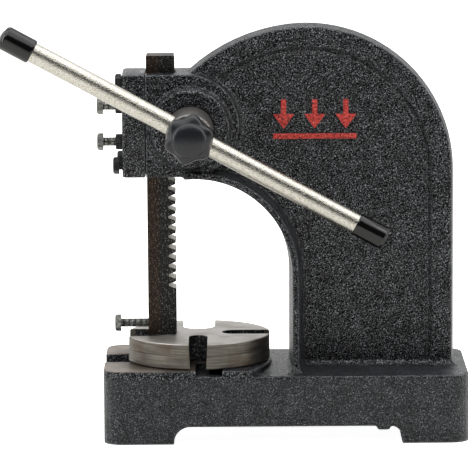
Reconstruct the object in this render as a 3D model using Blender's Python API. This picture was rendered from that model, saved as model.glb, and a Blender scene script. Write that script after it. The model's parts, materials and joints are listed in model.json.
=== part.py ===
"""Small bench arbor press: a cast C-frame, a rack ram driven by a pinion and a loose handle bar,
and a slotted table plate that turns on its pin. Metres, +Z up.

The press is laid out with X = 0 on the table's axis and Y = 0 on its plane of symmetry: +X runs back
to the column and -Y towards the handle. At the end the root empty moves the whole press, so that the
origin lies on the floor at the middle of its box."""

import math

import bmesh
import bpy
import numpy as np
from mathutils import Matrix

# Clearances and cuts
GAP = 0.0003
CUT_OVERRUN = 0.002
OVERLAP = 0.001

# Base of the casting
BASE_LENGTH = 0.2458
BASE_WIDTH = 0.104
BASE_FRONT = 0.0638
BASE_HEIGHT = 0.0462
BASE_CORNER_RADIUS = 0.012
BASE_EDGE_ROUND = 0.0010
FOOT_ALLOWANCE = 0.0018
FRONT_FOOT_LENGTH = 0.0471
REAR_FOOT_LENGTH = 0.0450
ARCH_HEIGHT = 0.0118
ARCH_FRONT_RADIUS = 0.0110
ARCH_REAR_RADIUS = 0.0080
PAD_HEIGHT = 0.0039
PAD_SHOULDER = 0.0354
PAD_NOSE = 0.0496
NOTCH_START = -0.0014
NOTCH_LENGTH = 0.0177
NOTCH_DEPTH = 0.034
NOTCH_CORNER_RADIUS = 0.003
FRONT_SLOT_WIDTH = 0.0295
CORE_FRONT = 0.0174
CORE_REAR_WALL = 0.012
CORE_SIDE_WALL = 0.012
CORE_ROOF = 0.0095
CORE_CORNER_RADIUS = 0.008
LUMP_START = 0.1201
LUMP_LENGTH = 0.0086
LUMP_HEIGHT = 0.0028

# Column of the casting
COLUMN_REACH = 0.0616
COLUMN_REAR = 0.1719
RIM_RIDGE = 0.0018
RIM_WIDTH = 0.0133
RIM_HALF_WIDTH = 0.0134
RIM_GROOVE = 0.0011
RIM_BEAD = 0.0036
BEAD_HALF_WIDTH = 0.0122
WEB_HALF_WIDTH = 0.0113
CROWN_RADIUS = 0.0982
CROWN_DROP = 0.0314
CROWN_FRONT_RADIUS = 0.1200
CROWN_BLEND_ANGLE = math.radians(97)
THROAT_RADIUS = 0.0624
THROAT_DROP = 0.0992
FLANGE_EDGE = 0.0042
FLANGE_DRAFT = 0.0024
FLANGE_ROOT = 0.0030
FLANGE_HALF_WIDTH_FOOT = 0.0400
FLANGE_HALF_WIDTH_HEAD = 0.0245
FLANGE_END_ANGLE = math.radians(97)
SKIRT_RADIUS = 0.0060

# Head of the casting
HEAD_BELOW_PINION = 0.0332
HEAD_ABOVE_PINION = 0.0361
HEAD_WIDTH = 0.047
HEAD_EDGE_ROUND = 0.0012
HEAD_FILLET = 0.0048
HEAD_FILLET_START = math.radians(-60)
HEAD_FILLET_END = math.radians(78)
BOSS_RADIUS = 0.0264
BOSS_DRAFT = 0.0016
BOSS_HEIGHT = 0.0060
FAR_BOSS_RADIUS = 0.0200
FAR_BOSS_HEIGHT = 0.0030

# Ram and its guide
RAM_OFFSET = 0.0243
RAM_SIDE = 0.01905
RAM_LENGTH = 0.1902
RAM_EDGE_CHAMFER = 0.0006
RAM_REST_GAP = 0.0004
SOCKET_RADIUS = 0.00475
SOCKET_DEPTH = 0.020
SET_SCREW_HEIGHT = 0.0065
COVER_THICKNESS = 0.0156
COVER_CORNER_RADIUS = 0.0035
COVER_EDGE_ROUND = 0.0010
GIB_THICKNESS = 0.0034
GIB_WIDTH = 0.0184
GIB_END_MARGIN = 0.0015

# Rack and pinion
MODULE = 0.0254 / 12
PINION_TEETH = 12
PRESSURE_ANGLE = math.radians(20)
ROOT_CLEARANCE_SHARE = 0.25
MESH_CLEARANCE = 0.00016
RACK_GAPS = 22
FIRST_RACK_GAP = 0.0339
PINION_HEIGHT = 0.2105
NEAR_JOURNAL_RADIUS = 0.0150
FAR_JOURNAL_RADIUS = 0.0070
HUB_RADIUS = 0.0157
HUB_CHAMFER = 0.0012
HUB_END_WALL = 0.0072

# Handle
HANDLE_REACH = 0.0610
HANDLE_ANGLE = math.radians(28.5)
BAR_RADIUS = 0.00675
BAR_END_CHAMFER = 0.0008
UPPER_REACH = 0.1410
LOWER_REACH = 0.1488
UPPER_CAP_RADIUS = 0.0083
LOWER_CAP_RADIUS = 0.0078
CAP_LENGTH = 0.0236
CAP_END_WALL = 0.0042
CAP_TIP_LENGTH = 0.0036

# Clamp knob
KNOB_RADIUS = 0.0153
KNOB_LOBE = 0.00135
KNOB_LOBES = 6
KNOB_PHASE = math.radians(77)
KNOB_BODY = 0.0135
KNOB_DOME_RADIUS = 0.0117
KNOB_LENGTH = 0.0195
STUD_RADIUS = 0.0050
STUD_GRIP = 0.0105

# Table plate
TABLE_DIAMETER = 0.0980
TABLE_THICKNESS = 0.0172
TABLE_EDGE_CHAMFER = 0.0006
RIM_LINE_WIDTH = 0.0007
RIM_LINE_DEPTH = 0.0003
SLOT_DRAFT = 0.0009
WIDE_SLOT_WIDTH = 0.0270
WIDE_SLOT_END = 0.0170
FAR_SLOT_WIDTH = 0.0222
FAR_SLOT_END = 0.0130
REAR_SLOT_WIDTH = 0.0150
REAR_SLOT_END = 0.0160
NEAR_SLOT_WIDTH = 0.0126
NEAR_SLOT_END = 0.0120
PIN_RADIUS = 0.0060
PIN_IN_BASE = 0.0140
PIN_IN_TABLE = 0.0080
PIN_CHAMFER = 0.0008

# Screws and nuts
SCREW_RADIUS = 0.0030
SCREW_FLATS = 0.0100
SCREW_HEAD_HEIGHT = 0.0041
SCREW_CHAMFER = 0.0005
COVER_SCREW_SPREAD = 0.0330
COVER_SCREW_TOP_MARGIN = 0.0054
COVER_SCREW_BOTTOM_MARGIN = 0.0076
FAR_TOP_DROP = 0.0050
COVER_SCREW_GRIP = 0.0120
LOOSE_SCREW_GAP = 0.0022
ADJUSTING_SPREAD = 0.0245
ADJUSTING_OFFSET = 0.0008
ADJUSTING_REACH = 0.0133
NUT_HEIGHT = 0.0046
SET_SCREW_REACH = 0.0188
PINION_SCREW_RADIUS = 0.0040
PINION_SCREW_FLATS = 0.0130
PINION_SCREW_HEAD = 0.0053
PINION_SCREW_GRIP = 0.0140
WASHER_RADIUS = 0.0110
WASHER_THICKNESS = 0.0020

# Facets
ROUND_STEPS = 32
HEX_STEPS = 24
CORNER_STEPS = 5
LONG_ARC_STEPS = 26
FILLET_STEPS = 3
TOOTH_STEPS = 7
ROLL_STEPS = 721
ROLL_RANGE = math.radians(70)
TABLE_STEPS = 72
KNOB_STEPS = 48
BOSS_STEPS = 48
SMOOTH_ANGLE = math.radians(32)

# Finishes, in linear colour
CAST_PAINT = (0.020, 0.023, 0.027)
BRONZE = (0.42, 0.26, 0.12)
OXIDE_STEEL = (0.045, 0.032, 0.026)
GROUND_IRON = (0.40, 0.37, 0.34)
TURNED_STEEL = (0.22, 0.22, 0.22)
PLATED_STEEL = (0.48, 0.50, 0.50)
BLACK_OXIDE = (0.025, 0.025, 0.028)
PHENOLIC = (0.012, 0.013, 0.015)
BRIGHT_STEEL = (0.72, 0.71, 0.67)
VINYL = (0.010, 0.010, 0.011)

# Shapes given as shares of the sizes above
TIP_SHOULDER_SHARE = 0.86
TIP_END_SHARE = 0.42
KNOB_NECK_SHARE = 0.70
KNOB_BACK_SHARES = (0.88, 0.6, 0.08)
KNOB_FRONT_SHARES = ((0.965, 0.95, 0.93), (0.90, 0.75, 1.0))
KNOB_SIDE_SHARES = (0.22, 0.80)
KNOB_STEP_SHARE = 0.12
DOME_EDGE_SHARE = 0.35
DOME_SHARES = (0.985, 0.93, 0.80, 0.60, 0.35, 0.12)

# Places that follow from the sizes
UPRIGHT = (math.radians(90), 0, 0)
UPRIGHT_MATRIX = Matrix.Rotation(math.radians(90), 4, "X")
LYING_FORWARD = (0, math.radians(-90), 0)
HEAD_BOTTOM = PINION_HEIGHT - HEAD_BELOW_PINION
HEAD_TOP = PINION_HEIGHT + HEAD_ABOVE_PINION
CROWN_CENTRE_HEIGHT = PINION_HEIGHT - CROWN_DROP
THROAT_CENTRE_HEIGHT = PINION_HEIGHT - THROAT_DROP
BASE_REAR = BASE_LENGTH - BASE_FRONT
PAD_TOP = BASE_HEIGHT + PAD_HEIGHT
TABLE_BOTTOM = PAD_TOP + GAP
TABLE_TOP = TABLE_BOTTOM + TABLE_THICKNESS
RAM_X = -RAM_OFFSET
RAM_BOTTOM = TABLE_TOP + RAM_REST_GAP
RAM_FRONT = RAM_X - RAM_SIDE / 2
RAM_REAR = RAM_X + RAM_SIDE / 2
HEAD_FRONT = RAM_FRONT - GAP
COVER_REAR = HEAD_FRONT - GAP
COVER_FRONT = COVER_REAR - COVER_THICKNESS
GIB_REAR = RAM_FRONT - GAP
GIB_FRONT = GIB_REAR - GIB_THICKNESS
PITCH = math.pi * MODULE
PITCH_RADIUS = MODULE * PINION_TEETH / 2
TIP_RADIUS = PITCH_RADIUS + MODULE
ROOT_DEPTH = MODULE * (1 + ROOT_CLEARANCE_SHARE)
TOOTH_FACE = RAM_SIDE + 4 * GAP
PINION_X = RAM_REAR - MODULE + PITCH_RADIUS
HEAD_MIDDLE = (HEAD_TOP + HEAD_BOTTOM) / 2
HEAD_ROUND = (HEAD_TOP - HEAD_BOTTOM) / 2
HEAD_ROUND_X = PINION_X - (HEAD_MIDDLE - PINION_HEIGHT)
BOSS_FACE = HEAD_WIDTH / 2 + BOSS_HEIGHT
FAR_BOSS_FACE = HEAD_WIDTH / 2 + FAR_BOSS_HEIGHT
NEAR_BORE_RADIUS = NEAR_JOURNAL_RADIUS + GAP
HUB_END = HANDLE_REACH + BAR_RADIUS + GAP + HUB_END_WALL
SHAFT_FAR_END = FAR_BOSS_FACE + GAP
CROWN_CENTRE_X = COLUMN_REAR - CROWN_RADIUS
THROAT_CENTRE_X = COLUMN_REACH - THROAT_RADIUS
COVER_SCREW_HEIGHTS = {
    "top": HEAD_TOP - COVER_SCREW_TOP_MARGIN,
    "bottom": HEAD_BOTTOM + COVER_SCREW_BOTTOM_MARGIN,
}
COVER_SCREW_SIDES = {"near": -COVER_SCREW_SPREAD / 2, "far": COVER_SCREW_SPREAD / 2}
ADJUSTING_HEIGHTS = {
    "upper": PINION_HEIGHT + ADJUSTING_OFFSET + ADJUSTING_SPREAD / 2,
    "lower": PINION_HEIGHT + ADJUSTING_OFFSET - ADJUSTING_SPREAD / 2,
}


def clear_scene():
    for obj in list(bpy.data.objects):
        bpy.data.objects.remove(obj, do_unlink=True)


def mesh_object(name, bm):
    """A linked object of this mesh, with its faces pointing out."""
    bmesh.ops.recalc_face_normals(bm, faces=bm.faces)
    mesh = bpy.data.meshes.new(name)
    bm.to_mesh(mesh)
    bm.free()
    obj = bpy.data.objects.new(name, mesh)
    bpy.context.collection.objects.link(obj)
    return obj


def place(obj, location=(0, 0, 0), rotation=(0, 0, 0)):
    obj.location = location
    obj.rotation_euler = rotation
    return obj


def finish(obj, colour, roughness, metallic, parent):
    """Smooth shading, a material of its own and its parent."""
    obj.data.shade_smooth()
    obj.data.set_sharp_from_angle(angle=SMOOTH_ANGLE)
    material = bpy.data.materials.new(obj.name + "_finish")
    material.use_nodes = True
    shader = material.node_tree.nodes["Principled BSDF"]
    shader.inputs["Base Color"].default_value = (*colour, 1)
    shader.inputs["Roughness"].default_value = roughness
    shader.inputs["Metallic"].default_value = metallic
    obj.data.materials.clear()
    obj.data.materials.append(material)
    obj.parent = parent
    return obj


def combine(target, tool, operation):
    """Joins the tool to the target, or cuts it out, and removes the tool."""
    modifier = target.modifiers.new(operation.title(), "BOOLEAN")
    modifier.operation = operation
    modifier.object = tool
    bpy.context.view_layer.update()
    graph = bpy.context.evaluated_depsgraph_get()
    result = bpy.data.meshes.new_from_object(target.evaluated_get(graph))
    target.modifiers.clear()
    target.data = result
    result.name = target.name
    bpy.data.objects.remove(tool, do_unlink=True)


def join(target, *tools):
    for tool in tools:
        combine(target, tool, "UNION")


def cut(target, *tools):
    for tool in tools:
        combine(target, tool, "DIFFERENCE")


def round_edges(obj, width, steps=FILLET_STEPS - 1):
    """Rounds the sharp edges with a Bevel that is applied at once."""
    modifier = obj.modifiers.new("Round", "BEVEL")
    modifier.width = width
    modifier.segments = steps
    modifier.limit_method = "ANGLE"
    modifier.angle_limit = math.radians(50)
    bpy.context.view_layer.update()
    graph = bpy.context.evaluated_depsgraph_get()
    result = bpy.data.meshes.new_from_object(obj.evaluated_get(graph))
    obj.modifiers.clear()
    obj.data = result
    return obj


def arc(centre_x, centre_y, radius, start, end, steps):
    """Points along a circular arc, both ends included."""
    angles = np.linspace(start, end, steps + 1)
    return [(centre_x + radius * math.cos(a), centre_y + radius * math.sin(a)) for a in angles]


def circle(radius, steps=ROUND_STEPS):
    return arc(0, 0, radius, 0, math.tau * (1 - 1 / steps), steps - 1)


def hexagon(flats, steps=HEX_STEPS):
    """A hexagon with points at even angles, so that it can be lofted to a circle."""
    points = []
    for angle in np.arange(steps) * math.tau / steps:
        from_flat = (angle + math.pi / 6) % (math.pi / 3) - math.pi / 6
        radius = flats / 2 / math.cos(from_flat)
        points.append((radius * math.cos(angle), radius * math.sin(angle)))
    return points


def lobed(radius, lobe):
    """The outline of the star knob."""
    points = []
    for angle in np.arange(KNOB_STEPS) * math.tau / KNOB_STEPS:
        r = radius + lobe * math.cos(KNOB_LOBES * (angle - KNOB_PHASE))
        points.append((r * math.cos(angle), r * math.sin(angle)))
    return points


def rounded_box(x0, x1, y0, y1, radii, steps=CORNER_STEPS):
    """A rectangle whose corner radii are given in the order rear far, front far, front near, rear near."""
    corners = ((x1, y1, 0), (x0, y1, 1), (x0, y0, 2), (x1, y0, 3))
    points = []
    for (x, y, quarter), radius in zip(corners, radii):
        if not radius:
            points.append((x, y))
            continue
        centre_x = x - math.copysign(radius, x - (x0 + x1) / 2)
        centre_y = y - math.copysign(radius, y - (y0 + y1) / 2)
        start = quarter * math.pi / 2
        points += arc(centre_x, centre_y, radius, start, start + math.pi / 2, steps)
    return points


def slot_outline(inner_end, outer_end, width, steps=CORNER_STEPS * 2):
    """A slot along +X with a round inner end, open beyond its outer end."""
    radius = width / 2
    inner = arc(inner_end + radius, 0, radius, math.pi / 2, math.pi * 3 / 2, steps)
    return [(outer_end, radius)] + inner + [(outer_end, -radius)]


def at_height(outline, z):
    return [(x, y, z) for x, y in outline]


def loft(name, rings, looped=False):
    """A closed body through rings of equally many points; looped joins the last ring to the first."""
    bm = bmesh.new()
    loops = [[bm.verts.new(point) for point in ring] for ring in rings]
    pairs = list(zip(loops, loops[1:]))
    if looped:
        pairs.append((loops[-1], loops[0]))
    else:
        bm.faces.new(loops[0])
        bm.faces.new(loops[-1])
    for low, high in pairs:
        for i in range(len(low)):
            j = (i + 1) % len(low)
            bm.faces.new((low[i], low[j], high[j], high[i]))
    return mesh_object(name, bm)


def plate(name, outline, z0, z1):
    return loft(name, [at_height(outline, z0), at_height(outline, z1)])


def turned(name, profile, steps=ROUND_STEPS, looped=False):
    """A turned body about Z, from (radius, height) pairs."""
    return loft(name, [at_height(circle(radius, steps), z) for radius, z in profile], looped)


def box(name, x0, x1, y0, y1, z0, z1):
    return plate(name, [(x1, y1), (x0, y1), (x0, y0), (x1, y0)], z0, z1)


def hex_screw(name, radius, flats, head_height, length):
    """A hexagon screw along +Z: its tip at 0 and the underside of its head at the length."""
    top = length + head_height
    rings = [
        at_height(circle(radius - SCREW_CHAMFER, HEX_STEPS), 0),
        at_height(circle(radius, HEX_STEPS), SCREW_CHAMFER),
        at_height(circle(radius, HEX_STEPS), length),
        at_height(hexagon(flats), length),
        at_height(hexagon(flats), top - SCREW_CHAMFER),
        at_height(circle(flats / 2 - SCREW_CHAMFER / 2, HEX_STEPS), top),
    ]
    return loft(name, rings)


def hole_tool(radius, start, length, rotation=(0, 0, 0), steps=HEX_STEPS):
    """A cutter for a round hole that begins at start and runs along the turned Z axis."""
    tool = turned("hole_tool", [(radius, 0), (radius, length)], steps)
    return place(tool, start, rotation)


def offset_outline(outline, distance):
    """A counter-clockwise outline moved outwards by the distance, with mitred corners."""
    moved = []
    for i, point in enumerate(outline):
        before = np.subtract(point, outline[i - 1])
        after = np.subtract(outline[(i + 1) % len(outline)], point)
        normals = [np.array((d[1], -d[0])) / np.hypot(*d) for d in (before, after)]
        mitre = normals[0] + normals[1]
        moved.append(tuple(np.array(point) + mitre * distance * 2 / mitre.dot(mitre)))
    return moved


def base_body():
    """The base with its feet, its machined pad, the slot, the notch and the core below."""
    half = BASE_WIDTH / 2
    corner = [BASE_CORNER_RADIUS] * 4
    outline = rounded_box(-BASE_FRONT, BASE_REAR, -half, half, corner)
    base = plate("base", outline, -FOOT_ALLOWANCE, PAD_TOP)

    sagitta = PAD_NOSE - PAD_SHOULDER
    nose_radius = (half**2 + sagitta**2) / (2 * sagitta)
    nose_angle = math.asin((half + CUT_OVERRUN) / nose_radius)
    nose = arc(PAD_NOSE - nose_radius, 0, nose_radius, -nose_angle, nose_angle, CORNER_STEPS * 2)
    behind = [(BASE_REAR + CUT_OVERRUN, nose[-1][1]), (BASE_REAR + CUT_OVERRUN, nose[0][1])]
    cut(base, plate("lower_top", nose + behind, BASE_HEIGHT, PAD_TOP + CUT_OVERRUN))

    notch = rounded_box(
        NOTCH_START,
        NOTCH_START + NOTCH_LENGTH,
        -half - CUT_OVERRUN,
        -half + NOTCH_DEPTH,
        (NOTCH_CORNER_RADIUS, NOTCH_CORNER_RADIUS, 0, 0),
    )
    cut(base, plate("notch", notch, BASE_HEIGHT, PAD_TOP + CUT_OVERRUN))

    arch_start = FRONT_FOOT_LENGTH - BASE_FRONT
    arch_end = BASE_REAR - REAR_FOOT_LENGTH
    arch = rounded_box(
        arch_start,
        arch_end,
        -FOOT_ALLOWANCE - CUT_OVERRUN,
        ARCH_HEIGHT,
        (ARCH_REAR_RADIUS, ARCH_FRONT_RADIUS, 0, 0),
    )
    cut(base, place(plate("arch", arch, -half - CUT_OVERRUN, half + CUT_OVERRUN), rotation=UPRIGHT))

    slot_end = RAM_X + FRONT_SLOT_WIDTH / 2
    slot = slot_outline(-slot_end, BASE_FRONT + CUT_OVERRUN, FRONT_SLOT_WIDTH)
    tool = plate("front_slot", slot, -FOOT_ALLOWANCE - CUT_OVERRUN, PAD_TOP + CUT_OVERRUN)
    cut(base, place(tool, rotation=(0, 0, math.pi)))

    core_half = half - CORE_SIDE_WALL
    core = rounded_box(
        CORE_FRONT, arch_end - CORE_REAR_WALL, -core_half, core_half, [CORE_CORNER_RADIUS] * 4
    )
    cut(base, plate("core", core, ARCH_HEIGHT - CUT_OVERRUN, BASE_HEIGHT - CORE_ROOF))
    round_edges(base, BASE_EDGE_ROUND)
    beyond = BASE_LENGTH + BASE_WIDTH
    cut(base, box("below_feet", -beyond, beyond, -beyond, beyond, -FOOT_ALLOWANCE - CUT_OVERRUN, 0))

    lump = rounded_box(
        LUMP_START,
        LUMP_START + LUMP_LENGTH,
        ARCH_HEIGHT - LUMP_HEIGHT,
        ARCH_HEIGHT + OVERLAP,
        (0, 0, LUMP_HEIGHT / 2, LUMP_HEIGHT / 2),
    )
    lump_start = half - BASE_EDGE_ROUND
    lump_end = lump_start - CORE_SIDE_WALL / 2
    join(base, place(plate("lump", lump, lump_end, lump_start), rotation=UPRIGHT))
    return base


def crown_points(offset, steps=LONG_ARC_STEPS):
    """The column's outer line, from its foot at the rear over the crown to the head."""
    blend_x = CROWN_CENTRE_X + (CROWN_RADIUS - CROWN_FRONT_RADIUS) * math.cos(CROWN_BLEND_ANGLE)
    blend_z = CROWN_CENTRE_HEIGHT + (CROWN_RADIUS - CROWN_FRONT_RADIUS) * math.sin(CROWN_BLEND_ANGLE)
    rear = arc(
        CROWN_CENTRE_X, CROWN_CENTRE_HEIGHT, CROWN_RADIUS + offset, 0, CROWN_BLEND_ANGLE, steps
    )
    end_angle = math.pi - math.asin((HEAD_MIDDLE - blend_z) / CROWN_FRONT_RADIUS)
    front = arc(
        blend_x, blend_z, CROWN_FRONT_RADIUS + offset, CROWN_BLEND_ANGLE, end_angle, steps // 2
    )
    foot = (COLUMN_REAR + offset, BASE_HEIGHT - OVERLAP)
    return [foot] + rear + front[1:]


def throat_points(offset, steps=LONG_ARC_STEPS):
    """The throat's line from the base to the head, moved into the casting by the offset."""
    foot = (COLUMN_REACH + offset, BASE_HEIGHT - OVERLAP)
    curve = arc(
        THROAT_CENTRE_X, THROAT_CENTRE_HEIGHT, THROAT_RADIUS + offset, 0, FLANGE_END_ANGLE, steps
    )
    return [foot] + curve


def column_web():
    """The flat web between the rim and the throat flange."""
    outer = crown_points(-RIM_WIDTH / 2)
    throat = throat_points(FLANGE_EDGE / 2)[:-1]
    head = (HEAD_ROUND_X, HEAD_MIDDLE - HEAD_ROUND / 2)
    tool = plate("web", outer + [head] + throat[::-1], -WEB_HALF_WIDTH, WEB_HALF_WIDTH)
    return place(tool, rotation=UPRIGHT)


def column_rim():
    """The thicker rim over the rear and the crown, its outer face drafted, with a groove and a bead
    along its inner edge."""
    groove = -RIM_WIDTH - RIM_GROOVE
    offsets = (groove - RIM_BEAD, groove - RIM_BEAD / 2, groove, -RIM_WIDTH, 0, RIM_RIDGE)
    buried = WEB_HALF_WIDTH - OVERLAP
    reaches = (buried, BEAD_HALF_WIDTH, buried, RIM_HALF_WIDTH, RIM_HALF_WIDTH)
    rings = []
    for *flank, ridge in zip(*(crown_points(offset) for offset in offsets)):
        side = list(zip(flank, reaches))
        section = [(point, -y) for point, y in side] + [(ridge, 0)] + side[::-1]
        rings.append([(x, y, z) for (x, z), y in section])
    return loft("rim", rings)


def throat_flange():
    """The flange along the throat: wide at its foot, narrow at the head, drafted from its middle."""
    offsets = np.cumsum([0, FLANGE_DRAFT, FLANGE_EDGE, FLANGE_ROOT])
    ridge, edge, back, root = [throat_points(offset) for offset in offsets]
    steps = np.diff(np.array(edge), axis=0)
    run = np.concatenate([[0], np.cumsum(np.hypot(steps[:, 0], steps[:, 1]))])
    shares = run / run[-1]
    rings = []
    for middle, front, rear, deep, share in zip(ridge, edge, back, root, shares):
        half = FLANGE_HALF_WIDTH_FOOT + (FLANGE_HALF_WIDTH_HEAD - FLANGE_HALF_WIDTH_FOOT) * share
        crest = np.array(middle) + (np.array(front) - np.array(middle)) * share**2
        section = (
            (crest, 0),
            (front, half),
            (rear, half),
            (deep, WEB_HALF_WIDTH - OVERLAP),
            (deep, OVERLAP - WEB_HALF_WIDTH),
            (rear, -half),
            (front, -half),
        )
        rings.append([(point[0], y, point[1]) for point, y in section])
    return loft("flange", rings)


def column_skirt():
    """The fillet between the column's foot and the base. Its outline stays just inside the rim's
    corners, so that no edges coincide."""
    inside = OVERLAP / 4
    flange_back = COLUMN_REACH + FLANGE_DRAFT + FLANGE_EDGE
    rim_inner = COLUMN_REAR - RIM_WIDTH - 2 * inside
    rim_half = RIM_HALF_WIDTH - inside
    rim_step = rim_inner - (RIM_HALF_WIDTH - WEB_HALF_WIDTH)
    near = [
        (COLUMN_REACH, 0),
        (COLUMN_REACH + FLANGE_DRAFT, -FLANGE_HALF_WIDTH_FOOT),
        (flange_back, -FLANGE_HALF_WIDTH_FOOT),
        (flange_back + FLANGE_ROOT, -WEB_HALF_WIDTH),
        (rim_step, -WEB_HALF_WIDTH),
        (rim_inner, -rim_half),
        (COLUMN_REAR, -rim_half),
        (COLUMN_REAR + RIM_RIDGE, 0),
    ]
    outline = near + [(x, -y) for x, y in near[-2:0:-1]]
    rings = [at_height(offset_outline(outline, SKIRT_RADIUS), BASE_HEIGHT - OVERLAP)]
    for angle in np.linspace(0, math.pi / 2, FILLET_STEPS + 1):
        spread = SKIRT_RADIUS * (1 - math.sin(angle))
        height = SKIRT_RADIUS * (1 - math.cos(angle))
        rings.append(at_height(offset_outline(outline, spread - OVERLAP / 2), BASE_HEIGHT + height))
    return loft("skirt", rings)


def head_fillet():
    """The fillet between the round back of the head and the web, on both sides."""
    rings = []
    for angle in np.linspace(HEAD_FILLET_START, HEAD_FILLET_END, LONG_ARC_STEPS + 1):
        curve = [(HEAD_ROUND - OVERLAP, 0), (HEAD_ROUND + HEAD_FILLET, 0)]
        for turn in np.linspace(0, math.pi / 2, FILLET_STEPS + 1):
            radius = HEAD_ROUND + HEAD_FILLET * (1 - math.sin(turn))
            curve.append((radius, WEB_HALF_WIDTH + HEAD_FILLET * (1 - math.cos(turn))))
        curve.append((HEAD_ROUND - OVERLAP, WEB_HALF_WIDTH + HEAD_FILLET))
        section = curve[1:] + [(radius, -y) for radius, y in curve[:1:-1]]
        turn_x, turn_z = math.cos(angle), math.sin(angle)
        rings.append([(HEAD_ROUND_X + r * turn_x, y, HEAD_MIDDLE + r * turn_z) for r, y in section])
    return loft("head_fillet", rings)


def head_body():
    """The head: flat at the front, round behind the pinion, with a boss on each side."""
    half = HEAD_WIDTH / 2
    rear = arc(HEAD_ROUND_X, HEAD_MIDDLE, HEAD_ROUND, -math.pi / 2, math.pi / 2, LONG_ARC_STEPS)
    front_x = HEAD_FRONT - CUT_OVERRUN
    outline = rear + [(front_x, HEAD_TOP), (front_x, HEAD_BOTTOM)]
    head = place(plate("head", outline, -half, half), rotation=UPRIGHT)
    round_edges(head, HEAD_EDGE_ROUND)

    boss = [
        (BOSS_RADIUS + BOSS_DRAFT, 0),
        (BOSS_RADIUS + BOSS_DRAFT, half + BOSS_HEIGHT / 6),
        (BOSS_RADIUS + BOSS_DRAFT / 3, BOSS_FACE - BOSS_HEIGHT / 2),
        (BOSS_RADIUS, BOSS_FACE - BOSS_HEIGHT / 6),
        (BOSS_RADIUS - BOSS_HEIGHT / 6, BOSS_FACE),
    ]
    far_boss = [
        (FAR_BOSS_RADIUS, 0),
        (FAR_BOSS_RADIUS, -FAR_BOSS_FACE + FAR_BOSS_HEIGHT / 3),
        (FAR_BOSS_RADIUS - FAR_BOSS_HEIGHT / 3, -FAR_BOSS_FACE),
    ]
    axis = (PINION_X, 0, PINION_HEIGHT)
    join(head, place(turned("boss", boss, BOSS_STEPS), axis, UPRIGHT))
    join(head, place(turned("far_boss", far_boss), axis, UPRIGHT))
    return head


def cover_screw_places():
    """(name, side of the plane of symmetry, height) of the four screws of the cover."""
    places = {
        f"{side}_{level}": (y, z)
        for side, y in COVER_SCREW_SIDES.items()
        for level, z in COVER_SCREW_HEIGHTS.items()
    }
    y, z = places["far_top"]
    places["far_top"] = (y, z - FAR_TOP_DROP)
    return [(name, y, z) for name, (y, z) in places.items()]


def frame_casting():
    """The one casting that carries everything, with its machined faces and holes."""
    frame = base_body()
    join(frame, column_web(), column_rim(), throat_flange(), column_skirt())
    join(frame, head_fillet(), head_body())
    frame.name = "frame_casting"

    above, below = HEAD_TOP + CROWN_RADIUS, HEAD_BOTTOM - THROAT_RADIUS / 2
    side = HEAD_WIDTH / 2 + BOSS_HEIGHT
    guide = RAM_SIDE / 2 + GAP
    cut(frame, box("cover_seat", COVER_FRONT, HEAD_FRONT, -side, side, below, above))
    cut(frame, box("ram_guide", COVER_FRONT, RAM_REAR + GAP, -guide, guide, below, above))

    axis = PINION_X, PINION_HEIGHT
    bore_end = TOOTH_FACE / 2 + GAP
    near_start = (axis[0], bore_end, axis[1])
    near_length = bore_end + BOSS_FACE + CUT_OVERRUN
    cut(frame, hole_tool(NEAR_BORE_RADIUS, near_start, near_length, UPRIGHT, BOSS_STEPS))
    far_start = (axis[0], FAR_BOSS_FACE + CUT_OVERRUN, axis[1])
    cut(frame, hole_tool(FAR_JOURNAL_RADIUS + GAP, far_start, FAR_BOSS_FACE + CUT_OVERRUN, UPRIGHT))

    hole = SCREW_RADIUS + GAP
    for _, y, z in cover_screw_places():
        start = (HEAD_FRONT + COVER_SCREW_GRIP + GAP, y, z)
        cut(frame, hole_tool(hole, start, COVER_SCREW_GRIP + CUT_OVERRUN, LYING_FORWARD))
    pin_start = (0, 0, PAD_TOP - PIN_IN_BASE - GAP)
    cut(frame, hole_tool(PIN_RADIUS + GAP, pin_start, PIN_IN_BASE + CUT_OVERRUN))
    return frame


def ram_cover():
    """The plate over the ram's channel, recessed for the gib and bored for six screws."""
    half = HEAD_WIDTH / 2
    corners = (0, COVER_CORNER_RADIUS, COVER_CORNER_RADIUS, 0)
    outline = rounded_box(COVER_FRONT, COVER_REAR, -half, half, corners)
    cover = plate("ram_cover", outline, HEAD_BOTTOM, HEAD_TOP)
    round_edges(cover, COVER_EDGE_ROUND)
    recess = GIB_WIDTH / 2 + GAP
    low, high = HEAD_BOTTOM + GIB_END_MARGIN - GAP, HEAD_TOP - GIB_END_MARGIN + GAP
    cut(cover, box("recess", GIB_FRONT - GAP, COVER_REAR + CUT_OVERRUN, -recess, recess, low, high))
    hole = SCREW_RADIUS + GAP
    length = COVER_THICKNESS + 2 * CUT_OVERRUN
    for _, y, z in cover_screw_places():
        cut(cover, hole_tool(hole, (COVER_REAR + CUT_OVERRUN, y, z), length, LYING_FORWARD))
    for z in ADJUSTING_HEIGHTS.values():
        cut(cover, hole_tool(hole, (COVER_REAR + CUT_OVERRUN, 0, z), length, LYING_FORWARD))
    return cover


def gib_strip():
    half = GIB_WIDTH / 2
    low, high = HEAD_BOTTOM + GIB_END_MARGIN, HEAD_TOP - GIB_END_MARGIN
    return box("gib_strip", GIB_FRONT, GIB_REAR, -half, half, low, high)


def rack_line():
    """The ram's rear edge with its rack teeth, upwards, from the ram's axis and lower end."""
    rear = RAM_SIDE / 2
    root = rear - MODULE - ROOT_DEPTH
    slope = math.tan(PRESSURE_ANGLE)
    mouth = PITCH / 4 + MODULE * slope
    floor = PITCH / 4 - ROOT_DEPTH * slope
    points = []
    for i in range(RACK_GAPS):
        middle = FIRST_RACK_GAP + i * PITCH
        points += [
            (rear, middle - mouth),
            (root, middle - floor),
            (root, middle + floor),
            (rear, middle + mouth),
        ]
    return points


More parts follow.
